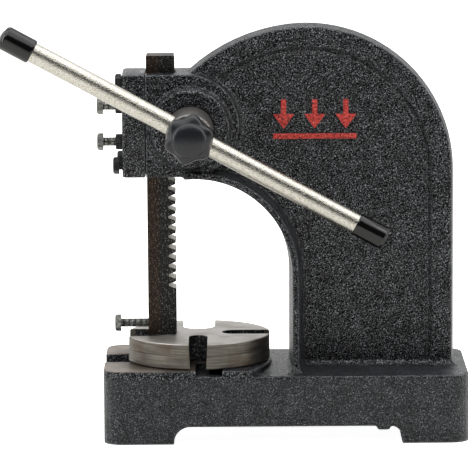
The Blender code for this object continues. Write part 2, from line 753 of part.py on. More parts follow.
def ram():
    """The square ram, its lower end bored for a tool and its rear face cut as a rack."""
    side = RAM_SIDE / 2
    chamfer = RAM_EDGE_CHAMFER
    outline = (
        [(-side, chamfer), (chamfer - side, 0), (side - chamfer, 0), (side, chamfer)]
        + rack_line()
        + [
            (side, RAM_LENGTH - chamfer),
            (side - chamfer, RAM_LENGTH),
            (chamfer - side, RAM_LENGTH),
            (-side, RAM_LENGTH - chamfer),
        ]
    )
    bar = plate("ram", outline, -side, side)
    bar.data.transform(UPRIGHT_MATRIX)
    socket_start = (0, 0, -CUT_OVERRUN)
    cut(bar, hole_tool(SOCKET_RADIUS, socket_start, SOCKET_DEPTH + CUT_OVERRUN))
    start = (0, 0, SET_SCREW_HEIGHT)
    cut(bar, hole_tool(SCREW_RADIUS + GAP, start, side + CUT_OVERRUN, LYING_FORWARD))
    return place(bar, (RAM_X, 0, RAM_BOTTOM))


def tooth_half_angle(radius):
    """Half the angle of a pinion tooth at this radius: what straight rack teeth leave as they roll past."""
    roll = np.linspace(-ROLL_RANGE, ROLL_RANGE, ROLL_STEPS)
    slope = math.tan(PRESSURE_ANGLE)
    flank = PITCH / 4 - MESH_CLEARANCE / math.cos(PRESSURE_ANGLE)
    reach = (flank + PITCH_RADIUS * slope + PITCH_RADIUS * roll) * math.cos(PRESSURE_ANGLE) / radius
    met = np.abs(reach) <= 1
    contact = np.arcsin(reach[met]) - PRESSURE_ANGLE
    in_rack = radius * np.cos(contact) > PITCH_RADIUS - ROOT_DEPTH
    limits = (contact - roll[met])[in_rack]
    half_pitch = math.pi / PINION_TEETH
    return min(limits.min(), half_pitch) if limits.size else half_pitch


def pinion_outline():
    """The toothed outline in mesh with the rack: x runs back and y up, from the pinion's axis."""
    lowest_gap = RAM_BOTTOM + FIRST_RACK_GAP - PINION_HEIGHT
    mesh_height = lowest_gap - round(lowest_gap / PITCH) * PITCH
    first = math.pi - mesh_height / PITCH_RADIUS
    root_radius = PITCH_RADIUS - ROOT_DEPTH + MESH_CLEARANCE
    radii = np.linspace(root_radius, TIP_RADIUS, TOOTH_STEPS)
    half_angles = [tooth_half_angle(radius) for radius in radii]
    points = []
    for tooth in range(PINION_TEETH):
        middle = first + tooth * math.tau / PINION_TEETH
        flanks = [(r, middle - a) for r, a in zip(radii, half_angles)]
        flanks += [(r, middle + a) for r, a in zip(radii[::-1], half_angles[::-1])]
        points += [(r * math.cos(angle), r * math.sin(angle)) for r, angle in flanks]
    return points


def pinion_shaft():
    """The shaft in one piece: hub, journals and teeth. It runs along local Z, towards the handle."""
    hub = [
        (NEAR_JOURNAL_RADIUS, TOOTH_FACE / 2),
        (NEAR_JOURNAL_RADIUS, BOSS_FACE + GAP),
        (HUB_RADIUS, BOSS_FACE + GAP),
        (HUB_RADIUS, HUB_END - HUB_CHAMFER),
        (HUB_RADIUS - HUB_CHAMFER, HUB_END),
    ]
    shaft = turned("pinion_shaft", hub, BOSS_STEPS)
    join(shaft, plate("teeth", pinion_outline(), -TOOTH_FACE / 2, TOOTH_FACE / 2 + OVERLAP))
    far = [
        (FAR_JOURNAL_RADIUS, 0),
        (FAR_JOURNAL_RADIUS, SCREW_CHAMFER - SHAFT_FAR_END),
        (FAR_JOURNAL_RADIUS - SCREW_CHAMFER, -SHAFT_FAR_END),
    ]
    join(shaft, turned("far_journal", far))
    bar_turn = (0, math.pi / 2, -HANDLE_ANGLE)
    across = 2 * (HUB_RADIUS + CUT_OVERRUN)
    start = (
        -math.cos(HANDLE_ANGLE) * across / 2,
        math.sin(HANDLE_ANGLE) * across / 2,
        HANDLE_REACH,
    )
    cut(shaft, hole_tool(BAR_RADIUS + GAP, start, across, bar_turn, ROUND_STEPS))
    stud_length = HUB_END - HANDLE_REACH + CUT_OVERRUN
    cut(shaft, hole_tool(STUD_RADIUS + GAP, (0, 0, HANDLE_REACH), stud_length))
    screw_length = PINION_SCREW_GRIP + GAP + CUT_OVERRUN
    screw_start = (0, 0, -SHAFT_FAR_END - CUT_OVERRUN)
    cut(shaft, hole_tool(PINION_SCREW_RADIUS + GAP, screw_start, screw_length))
    return place(shaft, (PINION_X, 0, PINION_HEIGHT), UPRIGHT)


def pinion_washer():
    hole = PINION_SCREW_RADIUS + GAP
    start = -SHAFT_FAR_END - GAP
    end = start - WASHER_THICKNESS
    rings = [(hole, start), (hole, end), (WASHER_RADIUS, end), (WASHER_RADIUS, start)]
    return place(turned("pinion_washer", rings, looped=True), (PINION_X, 0, PINION_HEIGHT), UPRIGHT)


def pinion_screw():
    length = PINION_SCREW_GRIP + WASHER_THICKNESS + GAP
    screw = hex_screw("pinion_screw", PINION_SCREW_RADIUS, PINION_SCREW_FLATS, PINION_SCREW_HEAD, length)
    tip = SHAFT_FAR_END + GAP + WASHER_THICKNESS + GAP - length
    return place(screw, (PINION_X, tip, PINION_HEIGHT), (math.radians(-90), 0, 0))


def handle_bar():
    """The bar, along local Z: its lower half lies at +Z."""
    low, high = CAP_END_WALL - UPPER_REACH, LOWER_REACH - CAP_END_WALL
    profile = [
        (BAR_RADIUS - BAR_END_CHAMFER, low),
        (BAR_RADIUS, low + BAR_END_CHAMFER),
        (BAR_RADIUS, high - BAR_END_CHAMFER),
        (BAR_RADIUS - BAR_END_CHAMFER, high),
    ]
    return turned("handle_bar", profile)


def handle_cap(name, radius, reach, side):
    """A vinyl cap over one end of the bar; side is -1 for the upper end and 1 for the lower."""
    inner = BAR_RADIUS + GAP
    lip = radius - inner
    profile = [
        (inner, reach - CAP_END_WALL + GAP),
        (inner, reach - CAP_LENGTH),
        (radius - lip / 3, reach - CAP_LENGTH),
        (radius, reach - CAP_LENGTH + lip),
        (radius, reach - CAP_TIP_LENGTH),
        (radius * TIP_SHOULDER_SHARE, reach - CAP_TIP_LENGTH / 2),
        (radius * TIP_END_SHARE, reach - CAP_TIP_LENGTH / 8),
        (radius * TIP_END_SHARE / 2, reach),
    ]
    return turned(name, [(r, side * z) for r, z in profile])


def clamp_knob():
    """The six-lobed knob with its domed face, along local Z away from the hub."""
    hole = STUD_RADIUS + GAP
    back_share, back_lobe_share, back_depth_share = KNOB_BACK_SHARES
    body = [
        (KNOB_RADIUS * KNOB_NECK_SHARE, 0, 0),
        (KNOB_RADIUS * back_share, KNOB_LOBE * back_lobe_share, KNOB_BODY * back_depth_share),
    ]
    body += [(KNOB_RADIUS, KNOB_LOBE, KNOB_BODY * share) for share in KNOB_SIDE_SHARES]
    body += [
        (KNOB_RADIUS * radius_share, KNOB_LOBE * lobe_share, KNOB_BODY * depth_share)
        for radius_share, lobe_share, depth_share in KNOB_FRONT_SHARES
    ]
    rise = KNOB_LENGTH - KNOB_BODY
    body.append((KNOB_DOME_RADIUS, 0, KNOB_BODY + rise * KNOB_STEP_SHARE))
    rings = [at_height(circle(hole, KNOB_STEPS), z) for z in (STUD_GRIP + GAP, 0)]
    rings += [at_height(lobed(radius, lobe), z) for radius, lobe, z in body]
    for share in DOME_SHARES:
        bulge = DOME_EDGE_SHARE + (1 - DOME_EDGE_SHARE) * math.sqrt(1 - share**2)
        rings.append(at_height(circle(KNOB_DOME_RADIUS * share, KNOB_STEPS), KNOB_BODY + rise * bulge))
    knob = loft("clamp_knob", rings)
    return place(knob, (PINION_X, -HUB_END - GAP, PINION_HEIGHT), UPRIGHT)


def knob_stud():
    """The stud in the knob, whose end presses on the bar."""
    tip = HANDLE_REACH + BAR_RADIUS + GAP
    length = HUB_END + GAP + STUD_GRIP - tip
    profile = [
        (STUD_RADIUS - SCREW_CHAMFER, 0),
        (STUD_RADIUS, SCREW_CHAMFER),
        (STUD_RADIUS, length - SCREW_CHAMFER),
        (STUD_RADIUS - SCREW_CHAMFER, length),
    ]
    return place(turned("knob_stud", profile, HEX_STEPS), (PINION_X, -tip, PINION_HEIGHT), UPRIGHT)


def work_table():
    """The round plate with its four drafted slots of different widths, and the hole for its pin."""
    radius = TABLE_DIAMETER / 2
    middle = TABLE_THICKNESS / 2
    chamfer = TABLE_EDGE_CHAMFER
    profile = [
        (radius - chamfer, 0),
        (radius, chamfer),
        (radius, middle - RIM_LINE_WIDTH / 2),
        (radius - RIM_LINE_DEPTH, middle),
        (radius, middle + RIM_LINE_WIDTH / 2),
        (radius, TABLE_THICKNESS - chamfer),
        (radius - chamfer, TABLE_THICKNESS),
    ]
    table = turned("work_table", profile, TABLE_STEPS)
    slots = (
        (WIDE_SLOT_END, WIDE_SLOT_WIDTH, math.pi),
        (FAR_SLOT_END, FAR_SLOT_WIDTH, math.pi / 2),
        (REAR_SLOT_END, REAR_SLOT_WIDTH, 0),
        (NEAR_SLOT_END, NEAR_SLOT_WIDTH, -math.pi / 2),
    )
    slope = SLOT_DRAFT / TABLE_THICKNESS
    for inner_end, width, angle in slots:
        rings = []
        for z in (-CUT_OVERRUN, TABLE_THICKNESS + CUT_OVERRUN):
            narrower = slope * (TABLE_THICKNESS - z)
            outline = slot_outline(inner_end + narrower, radius + CUT_OVERRUN, width - 2 * narrower)
            rings.append(at_height(outline, z))
        cut(table, place(loft("slot", rings), rotation=(0, 0, angle)))
    cut(table, hole_tool(PIN_RADIUS + GAP, (0, 0, -CUT_OVERRUN), PIN_IN_TABLE + GAP + CUT_OVERRUN))
    return place(table, (0, 0, TABLE_BOTTOM))


def table_pin():
    length = PIN_IN_BASE + GAP + PIN_IN_TABLE
    profile = [
        (PIN_RADIUS - PIN_CHAMFER, 0),
        (PIN_RADIUS, PIN_CHAMFER),
        (PIN_RADIUS, length - PIN_CHAMFER),
        (PIN_RADIUS - PIN_CHAMFER, length),
    ]
    return place(turned("table_pin", profile, HEX_STEPS), (0, 0, PAD_TOP - PIN_IN_BASE))


def forward_screw(name, tip_x, head_x, y, z):
    """An M6 hexagon screw that is driven in from the front, its head's underside at head_x."""
    screw = hex_screw(name, SCREW_RADIUS, SCREW_FLATS, SCREW_HEAD_HEIGHT, tip_x - head_x)
    return place(screw, (tip_x, y, z), LYING_FORWARD)


def cover_screws():
    """The cover's four screws; the lower near one stands off the cover by a loose thread's width."""
    screws = []
    for name, y, z in cover_screw_places():
        stand = LOOSE_SCREW_GAP if name == "near_bottom" else GAP
        head = COVER_FRONT - stand
        tip = HEAD_FRONT + COVER_SCREW_GRIP - stand
        screws.append(forward_screw("cover_screw_" + name, tip, head, y, z))
    return screws


def adjusting_screws():
    head = COVER_FRONT - ADJUSTING_REACH
    tip = GIB_FRONT - GAP
    return [
        forward_screw("adjusting_screw_" + level, tip, head, 0, z)
        for level, z in ADJUSTING_HEIGHTS.items()
    ]


def lock_nuts():
    """The nuts that lock the adjusting screws against the cover."""
    nuts = []
    hole = circle(SCREW_RADIUS + GAP, HEX_STEPS)
    crown = circle(SCREW_FLATS / 2 - SCREW_CHAMFER / 2, HEX_STEPS)
    outline = hexagon(SCREW_FLATS)
    layers = (
        (hole, 0),
        (crown, 0),
        (outline, SCREW_CHAMFER),
        (outline, NUT_HEIGHT - SCREW_CHAMFER),
        (crown, NUT_HEIGHT),
        (hole, NUT_HEIGHT),
    )
    for level, z in ADJUSTING_HEIGHTS.items():
        nut = loft("lock_nut_" + level, [at_height(ring, height) for ring, height in layers], looped=True)
        nuts.append(place(nut, (COVER_FRONT - GAP, 0, z), LYING_FORWARD))
    return nuts


def ram_set_screw():
    head = RAM_FRONT - SET_SCREW_REACH
    tip = RAM_X - SOCKET_RADIUS - GAP
    return forward_screw("ram_set_screw", tip, head, 0, RAM_BOTTOM + SET_SCREW_HEIGHT)


def centre_on_floor(root):
    """Moves the press so that the origin is at the middle of its box on the floor."""
    bpy.context.view_layer.update()
    meshes = [obj for obj in root.children_recursive if obj.type == "MESH"]
    corners = np.array([obj.matrix_world @ v.co for obj in meshes for v in obj.data.vertices])
    middle = (corners.min(axis=0) + corners.max(axis=0)) / 2
    root.location = (-middle[0], -middle[1], 0)


def empty(name, location=(0, 0, 0), rotation=(0, 0, 0), parent=None):
    obj = bpy.data.objects.new(name, None)
    bpy.context.collection.objects.link(obj)
    obj.parent = parent
    return place(obj, location, rotation)


def main():
    clear_scene()
    press = empty("press")
    across = empty(
        "handle_axis",
        (PINION_X, -HANDLE_REACH, PINION_HEIGHT),
        (0, math.pi / 2 + HANDLE_ANGLE, 0),
        press,
    )

    finish(frame_casting(), CAST_PAINT, 0.42, 0.0, press)
    finish(ram_cover(), CAST_PAINT, 0.42, 0.0, press)
    finish(gib_strip(), BRONZE, 0.38, 1.0, press)
    finish(ram(), OXIDE_STEEL, 0.45, 0.6, press)
    finish(work_table(), GROUND_IRON, 0.38, 0.8, press)
    finish(table_pin(), TURNED_STEEL, 0.35, 1.0, press)
    finish(pinion_shaft(), TURNED_STEEL, 0.35, 1.0, press)
    finish(pinion_washer(), PLATED_STEEL, 0.35, 1.0, press)
    finish(pinion_screw(), BLACK_OXIDE, 0.40, 0.7, press)
    for screw in cover_screws() + lock_nuts():
        finish(screw, BLACK_OXIDE, 0.40, 0.7, press)
    for screw in adjusting_screws() + [ram_set_screw()]:
        finish(screw, PLATED_STEEL, 0.30, 1.0, press)
    finish(clamp_knob(), PHENOLIC, 0.35, 0.0, press)
    finish(knob_stud(), PLATED_STEEL, 0.30, 1.0, press)
    finish(handle_bar(), BRIGHT_STEEL, 0.18, 1.0, across)
    finish(handle_cap("handle_cap_upper", UPPER_CAP_RADIUS, UPPER_REACH, -1), VINYL, 0.30, 0.0, across)
    finish(handle_cap("handle_cap_lower", LOWER_CAP_RADIUS, LOWER_REACH, 1), VINYL, 0.30, 0.0, across)
    centre_on_floor(press)


main()
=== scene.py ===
import json
import math

import bmesh
import bpy
from mathutils import Matrix, Vector


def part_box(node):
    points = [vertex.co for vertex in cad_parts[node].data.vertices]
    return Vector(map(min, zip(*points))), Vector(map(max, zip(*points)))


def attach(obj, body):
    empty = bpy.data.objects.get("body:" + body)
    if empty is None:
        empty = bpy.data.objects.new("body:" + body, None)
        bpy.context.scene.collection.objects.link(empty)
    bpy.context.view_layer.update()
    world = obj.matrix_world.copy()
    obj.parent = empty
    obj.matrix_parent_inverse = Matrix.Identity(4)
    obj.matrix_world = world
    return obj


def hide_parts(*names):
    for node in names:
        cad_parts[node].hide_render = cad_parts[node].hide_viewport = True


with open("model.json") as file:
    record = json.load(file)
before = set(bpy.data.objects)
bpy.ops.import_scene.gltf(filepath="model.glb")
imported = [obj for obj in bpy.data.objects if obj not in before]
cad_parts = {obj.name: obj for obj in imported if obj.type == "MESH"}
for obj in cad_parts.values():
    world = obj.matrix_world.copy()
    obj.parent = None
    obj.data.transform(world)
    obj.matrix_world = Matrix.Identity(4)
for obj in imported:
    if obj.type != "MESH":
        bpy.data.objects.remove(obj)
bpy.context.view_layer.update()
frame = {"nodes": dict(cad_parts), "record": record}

MM = 0.001


def per_metre(size):
    """The scale of a pattern whose cells have this size in millimetres."""
    return 1 / (size * MM)


def colour(code):
    """An sRGB hex value as linear RGBA."""
    channels = [int(code[i:i + 2], 16) / 255 for i in (1, 3, 5)]
    return [c / 12.92 if c <= 0.04045 else ((c + 0.055) / 1.055) ** 2.4 for c in channels] + [1.0]


def add(tree, kind, inputs=None, stops=(), **settings):
    """Adds a node; each input is a value or the socket that feeds it, and the stops are a ramp's."""
    node = tree.nodes.new(kind)
    for name, value in settings.items():
        setattr(node, name, value)
    for key, value in (inputs or {}).items():
        if isinstance(value, bpy.types.NodeSocket):
            tree.links.new(value, node.inputs[key])
        else:
            node.inputs[key].default_value = value
    for i, (position, code) in enumerate(stops):
        elements = node.color_ramp.elements
        element = elements[i] if i < len(elements) else elements.new(position)
        element.position = position
        element.color = colour(code)
    return node


def blank(name):
    """A new material with its tree, its shader and the object's own coordinates."""
    material = bpy.data.materials.new(name)
    material.use_nodes = True
    tree = material.node_tree
    coordinates = add(tree, "ShaderNodeTexCoord").outputs["Object"]
    return material, tree, tree.nodes["Principled BSDF"], coordinates


def feed(tree, shader, **sockets):
    """Links sockets to the shader's inputs; an underscore stands for a space in their names."""
    for name, socket in sockets.items():
        tree.links.new(socket, shader.inputs[name.replace("_", " ")])


def cast_enamel(name, grain_size, relief, base_top, pad=None):
    """Black enamel over sand-cast iron. The sand's grain stands through the coat and speckles the skin:
    its pits stay black and its tops are lightened as painted glints, but less so below the base's top,
    where the coat is thick and has an orange peel skin. Edges get a painted highlight, and corners and
    grooves a painted shade, near black and less glossy. A pad (its level and rear end, and the axis and
    radius of the plate that turns on it) is machined bare, a warm grey with fine scratches, up to a
    slightly ragged edge of paint, and darkens to a painted brown shadow by the plate."""
    material, tree, shader, place = blank(name)
    # Turned, so that no flat face lies along the noise's lattice and loses its contrast.
    askew = add(tree, "ShaderNodeMapping", {"Vector": place, "Rotation": (0.6, 0.4, 0.3)}).outputs[0]
    grain = add(tree, "ShaderNodeTexNoise", {
        "Vector": askew, "Scale": per_metre(grain_size), "Detail": 2.5, "Roughness": 0.6}).outputs["Fac"]
    peel = add(tree, "ShaderNodeTexVoronoi", {
        "Vector": place, "Scale": per_metre(2.2)}, feature="SMOOTH_F1").outputs["Distance"]
    swells = add(tree, "ShaderNodeTexNoise", {
        "Vector": place, "Scale": per_metre(11), "Detail": 3.0}).outputs["Fac"]
    axes = add(tree, "ShaderNodeSeparateXYZ", {0: place}).outputs
    thin = add(tree, "ShaderNodeMapRange", {
        "Value": axes["Z"], "From Min": base_top - 2 * MM, "From Max": base_top - MM,
        "To Min": 0.62, "To Max": 1.0}).outputs[0]
    fine = add(tree, "ShaderNodeBump", {
        "Height": grain, "Distance": relief * MM, "Strength": thin}).outputs["Normal"]
    orange = add(tree, "ShaderNodeBump", {
        "Height": peel, "Distance": 0.5 * MM, "Strength": 0.8, "Normal": fine}).outputs["Normal"]
    broad = add(tree, "ShaderNodeBump", {
        "Height": swells, "Distance": 0.5 * MM, "Strength": 0.8, "Normal": orange}).outputs["Normal"]
    uneven = add(tree, "ShaderNodeMath", {
        0: swells, 1: 0.07, 2: grain}, operation="MULTIPLY_ADD").outputs[0]
    # The grain's tone: black in the pits, and its light grey tops are painted glints.
    speckle_and_painted_glints = add(tree, "ShaderNodeValToRGB", {"Fac": uneven}, stops=(
        (0.48, "#020203"), (0.56, "#08090b"), (0.62, "#292c30"), (0.70, "#969ca3"))).outputs["Color"]
    even = add(tree, "ShaderNodeValToRGB", {"Fac": swells}, stops=(
        (0.35, "#23272a"), (0.70, "#2a2f34"))).outputs["Color"]
    coat = add(tree, "ShaderNodeMix", {"Factor": thin, "A": even, "B": speckle_and_painted_glints},
               data_type="RGBA").outputs["Result"]
    glints = add(tree, "ShaderNodeMapRange", {
        "Value": uneven, "From Min": 0.47, "From Max": 0.64, "To Min": 0.04, "To Max": 1.0}).outputs[0]
    shine = add(tree, "ShaderNodeMix", {"Factor": thin, "A": 0.5, "B": glints},
                data_type="FLOAT").outputs["Result"]
    # Painted highlight: convex edges, found by ambient occlusion from inside, are lightened to pale grey.
    inner = add(tree, "ShaderNodeAmbientOcclusion", {"Distance": 1.5 * MM},
                inside=True, only_local=True, samples=8).outputs["AO"]
    # Painted shade: corners and grooves, found by ambient occlusion, are darkened to near black and their
    # specular is turned down.
    outer = add(tree, "ShaderNodeAmbientOcclusion", {"Distance": 2.5 * MM},
                only_local=True, samples=6).outputs["AO"]
    painted_edge_highlight = add(tree, "ShaderNodeMapRange", {
        "Value": inner, "From Min": 0.84, "From Max": 0.62, "To Max": 0.9}).outputs[0]
    painted_crease_shade = add(tree, "ShaderNodeMapRange", {
        "Value": outer, "From Min": 0.95, "From Max": 0.74, "To Max": 0.9}).outputs[0]
    # The painted shade in corners and grooves.
    dark = add(tree, "ShaderNodeMix", {"Factor": painted_crease_shade, "A": coat, "B": colour("#050506")},
               data_type="RGBA").outputs["Result"]
    # The painted highlight along the edges.
    tone = add(tree, "ShaderNodeMix", {"Factor": painted_edge_highlight, "A": dark, "B": colour("#8f9499")},
               data_type="RGBA").outputs["Result"]
    wet = add(tree, "ShaderNodeMix", {"Factor": painted_crease_shade, "A": shine, "B": 0.1},
              data_type="FLOAT").outputs["Result"]
    gloss = add(tree, "ShaderNodeMapRange", {
        "Value": grain, "From Min": 0.35, "From Max": 0.65, "To Min": 0.44, "To Max": 0.22}).outputs[0]
    if pad:
        level, rear, axis, reach = pad
        ragged = add(tree, "ShaderNodeTexNoise", {"Vector": place, "Scale": per_metre(2.5), "Detail": 3.0})
        edge = add(tree, "ShaderNodeMath", {
            0: ragged.outputs["Fac"], 1: 0.5 * MM, 2: axes["Z"]}, operation="MULTIPLY_ADD").outputs[0]
        above = add(tree, "ShaderNodeMath", {0: edge, 1: level}, operation="GREATER_THAN").outputs[0]
        below = add(tree, "ShaderNodeMath", {0: axes["Z"], 1: level + MM}, operation="LESS_THAN").outputs[0]
        before = add(tree, "ShaderNodeMath", {0: axes["X"], 1: rear}, operation="LESS_THAN").outputs[0]
        low = add(tree, "ShaderNodeMath", {0: below, 1: before}, operation="MULTIPLY").outputs[0]
        bare = add(tree, "ShaderNodeMath", {0: low, 1: above}, operation="MULTIPLY").outputs[0]
        drawn = add(tree, "ShaderNodeMapping", {"Vector": place, "Scale": (1.0, 0.05, 1.0)}).outputs[0]
        scratches = add(tree, "ShaderNodeTexNoise", {
            "Vector": drawn, "Scale": per_metre(0.7), "Detail": 2.0}).outputs["Fac"]
        clean = add(tree, "ShaderNodeValToRGB", {"Fac": swells}, stops=(
            (0.35, "#7d736a"), (0.65, "#968c83"))).outputs["Color"]
        # Painted shadow of the plate: the bare pad darkens to brown towards the plate's rim.
        outward = add(tree, "ShaderNodeVectorMath", {0: place, 1: axis}, operation="SUBTRACT").outputs[0]
        flat = add(tree, "ShaderNodeVectorMath", {
            0: outward, 1: (1, 1, 0)}, operation="MULTIPLY").outputs[0]
        away = add(tree, "ShaderNodeVectorMath", {0: flat}, operation="LENGTH").outputs["Value"]
        painted_plate_shadow = add(tree, "ShaderNodeMapRange", {
            "Value": away, "From Min": reach + 2 * MM, "From Max": reach + 16 * MM,
            "To Min": 0.85, "To Max": 0.0}).outputs[0]
        iron = add(tree, "ShaderNodeMix", {"Factor": painted_plate_shadow, "A": clean, "B": colour("#33281f")},
                   data_type="RGBA").outputs["Result"]
        scored = add(tree, "ShaderNodeBump", {
            "Height": scratches, "Distance": 0.03 * MM, "Strength": 0.6}).outputs["Normal"]
        tone = add(tree, "ShaderNodeMix", {"Factor": bare, "A": tone, "B": iron},
                   data_type="RGBA").outputs["Result"]
        gloss = add(tree, "ShaderNodeMix", {"Factor": bare, "A": gloss, "B": 0.45},
                    data_type="FLOAT").outputs["Result"]
        broad = add(tree, "ShaderNodeMix", {"Factor": bare, "A": broad, "B": scored},
                    data_type="VECTOR").outputs["Result"]
        metal = add(tree, "ShaderNodeMath", {0: bare, 1: 0.6}, operation="MULTIPLY").outputs[0]
        feed(tree, shader, Metallic=metal)
    feed(tree, shader, Base_Color=tone, Roughness=gloss, Normal=broad, Specular_IOR_Level=wet)
    return material


def turned_iron(name, centre, slot_reach):
    """The table plate: grey iron faced in a lathe, so its top has fine rings. Its rim keeps the
    tool's level streaks with brown stains, and its slots are as cast, black and rough."""
    material, tree, shader, place = blank(name)
    offset = add(tree, "ShaderNodeVectorMath", {0: place, 1: centre}, operation="SUBTRACT").outputs[0]
    flat = add(tree, "ShaderNodeVectorMath", {0: offset, 1: (1, 1, 0)}, operation="MULTIPLY").outputs[0]
    radius = add(tree, "ShaderNodeVectorMath", {0: flat}, operation="LENGTH").outputs["Value"]
    normal = add(tree, "ShaderNodeNewGeometry").outputs["Normal"]
    up = add(tree, "ShaderNodeSeparateXYZ", {0: normal}).outputs["Z"]
    rings = add(tree, "ShaderNodeTexNoise", {"W": radius, "Scale": per_metre(0.9), "Detail": 2.0},
                noise_dimensions="1D").outputs["Fac"]
    level = add(tree, "ShaderNodeMapping", {"Vector": place, "Scale": (0.06, 0.06, 1.0)}).outputs[0]
    streaks = add(tree, "ShaderNodeTexNoise", {
        "Vector": level, "Scale": per_metre(1.1), "Detail": 3.0}).outputs["Fac"]
    stains = add(tree, "ShaderNodeTexNoise", {
        "Vector": place, "Scale": per_metre(16), "Detail": 4.0}).outputs["Fac"]
    grit = add(tree, "ShaderNodeTexNoise", {
        "Vector": place, "Scale": per_metre(1.3), "Detail": 3.0}).outputs["Fac"]
    face = add(tree, "ShaderNodeValToRGB", {"Fac": stains}, stops=(
        (0.34, "#9a958d"), (0.50, "#b2aea8"), (0.70, "#bdbab5"))).outputs["Color"]
    clean = add(tree, "ShaderNodeValToRGB", {"Fac": streaks}, stops=(
        (0.34, "#5c5750"), (0.50, "#6c6860"), (0.66, "#7c7870"))).outputs["Color"]
    brown = add(tree, "ShaderNodeMapRange", {
        "Value": stains, "From Min": 0.50, "From Max": 0.66, "To Max": 0.6}).outputs[0]
    rim = add(tree, "ShaderNodeMix", {"Factor": brown, "A": clean, "B": colour("#57473a")},
              data_type="RGBA").outputs["Result"]
    # The slots' cast skin is black, and its light grey tops are painted glints.
    sand = add(tree, "ShaderNodeValToRGB", {"Fac": grit}, stops=(
        (0.44, "#050606"), (0.56, "#1b1c1e"), (0.66, "#77787b"))).outputs["Color"]
    on_top = add(tree, "ShaderNodeMath", {0: up, 1: 0.7}, operation="GREATER_THAN").outputs[0]
    on_rim = add(tree, "ShaderNodeMath", {0: radius, 1: slot_reach}, operation="GREATER_THAN").outputs[0]
    bare = add(tree, "ShaderNodeMath", {0: on_top, 1: on_rim}, operation="MAXIMUM").outputs[0]
    side = add(tree, "ShaderNodeMix", {"Factor": on_rim, "A": sand, "B": rim},
               data_type="RGBA").outputs["Result"]
    tone = add(tree, "ShaderNodeMix", {"Factor": on_top, "A": side, "B": face},
               data_type="RGBA").outputs["Result"]
    metal = add(tree, "ShaderNodeMath", {0: bare, 1: 0.75}, operation="MULTIPLY").outputs[0]
    gloss = add(tree, "ShaderNodeMapRange", {"Value": rings, "To Min": 0.32, "To Max": 0.55}).outputs[0]
    turned = add(tree, "ShaderNodeBump", {
        "Height": rings, "Distance": 0.03 * MM, "Strength": 0.8}).outputs["Normal"]
    rough = add(tree, "ShaderNodeBump", {
        "Height": grit, "Distance": 0.5 * MM, "Strength": 1.0}).outputs["Normal"]
    skin = add(tree, "ShaderNodeMix", {"Factor": bare, "A": rough, "B": turned},
               data_type="VECTOR").outputs["Result"]
    feed(tree, shader, Base_Color=tone, Metallic=metal, Roughness=gloss, Normal=skin)
    return material


def rusted_bar(name, rear):
    """Hot-rolled steel bar, with teeth cut into its rear face: dark mill scale, grainy and rubbed
    along, brown with rust in front and black with oil by the teeth. The cuts between the teeth are
    bright, and so is the front half of the socket's wall: what faces the rear but lies deeper than
    the bar's rounded edges."""
    material, tree, shader, place = blank(name)
    axes = add(tree, "ShaderNodeSeparateXYZ", {0: place}).outputs
    normal = add(tree, "ShaderNodeTexCoord").outputs["Normal"]
    rearward = add(tree, "ShaderNodeSeparateXYZ", {0: normal}).outputs["X"]
    stretched = add(tree, "ShaderNodeMapping", {"Vector": place, "Scale": (1.0, 1.0, 0.4)}).outputs[0]
    scale = add(tree, "ShaderNodeTexNoise", {
        "Vector": stretched, "Scale": per_metre(1.1), "Detail": 5.0, "Roughness": 0.75}).outputs["Fac"]
    specks = add(tree, "ShaderNodeTexNoise", {
        "Vector": place, "Scale": per_metre(0.8), "Detail": 3.0}).outputs["Fac"]
    both = add(tree, "ShaderNodeMath", {0: scale, 1: specks}, operation="ADD").outputs[0]
    spread = add(tree, "ShaderNodeMath", {0: both, 1: 0.5}, operation="MULTIPLY").outputs[0]
    rust = add(tree, "ShaderNodeValToRGB", {"Fac": spread}, stops=(
        (0.42, "#040302"), (0.49, "#1b110b"), (0.54, "#35241a"), (0.61, "#7d6350"))).outputs["Color"]
    oil = add(tree, "ShaderNodeValToRGB", {"Fac": spread}, stops=(
        (0.42, "#010201"), (0.50, "#090b09"), (0.55, "#242622"), (0.60, "#84857c"))).outputs["Color"]
    wavy = add(tree, "ShaderNodeMath", {
        0: scale, 1: 6 * MM, 2: axes["X"]}, operation="MULTIPLY_ADD").outputs[0]
    black = add(tree, "ShaderNodeMapRange", {
        "Value": wavy, "From Min": rear - 10 * MM, "From Max": rear - 6 * MM}).outputs[0]
    skin = add(tree, "ShaderNodeMix", {"Factor": black, "A": rust, "B": oil},
               data_type="RGBA").outputs["Result"]
    facing_rear = add(tree, "ShaderNodeMath", {0: rearward, 1: 0.2}, operation="GREATER_THAN").outputs[0]
    sunk = add(tree, "ShaderNodeMath", {
        0: axes["X"], 1: rear - 0.4 * MM}, operation="LESS_THAN").outputs[0]
    cut_face = add(tree, "ShaderNodeMath", {0: facing_rear, 1: sunk}, operation="MULTIPLY").outputs[0]
    tone = add(tree, "ShaderNodeMix", {"Factor": cut_face, "A": skin, "B": colour("#c9c6be")},
               data_type="RGBA").outputs["Result"]
    gloss = add(tree, "ShaderNodeMapRange", {
        "Value": specks, "From Min": 0.3, "From Max": 0.7, "To Min": 0.32, "To Max": 0.60}).outputs[0]
    bump = add(tree, "ShaderNodeBump", {
        "Height": specks, "Distance": 0.16 * MM, "Strength": 1.0}).outputs["Normal"]
    feed(tree, shader, Base_Color=tone, Roughness=gloss, Normal=bump)
    shader.inputs["Metallic"].default_value = 0.5
    return material


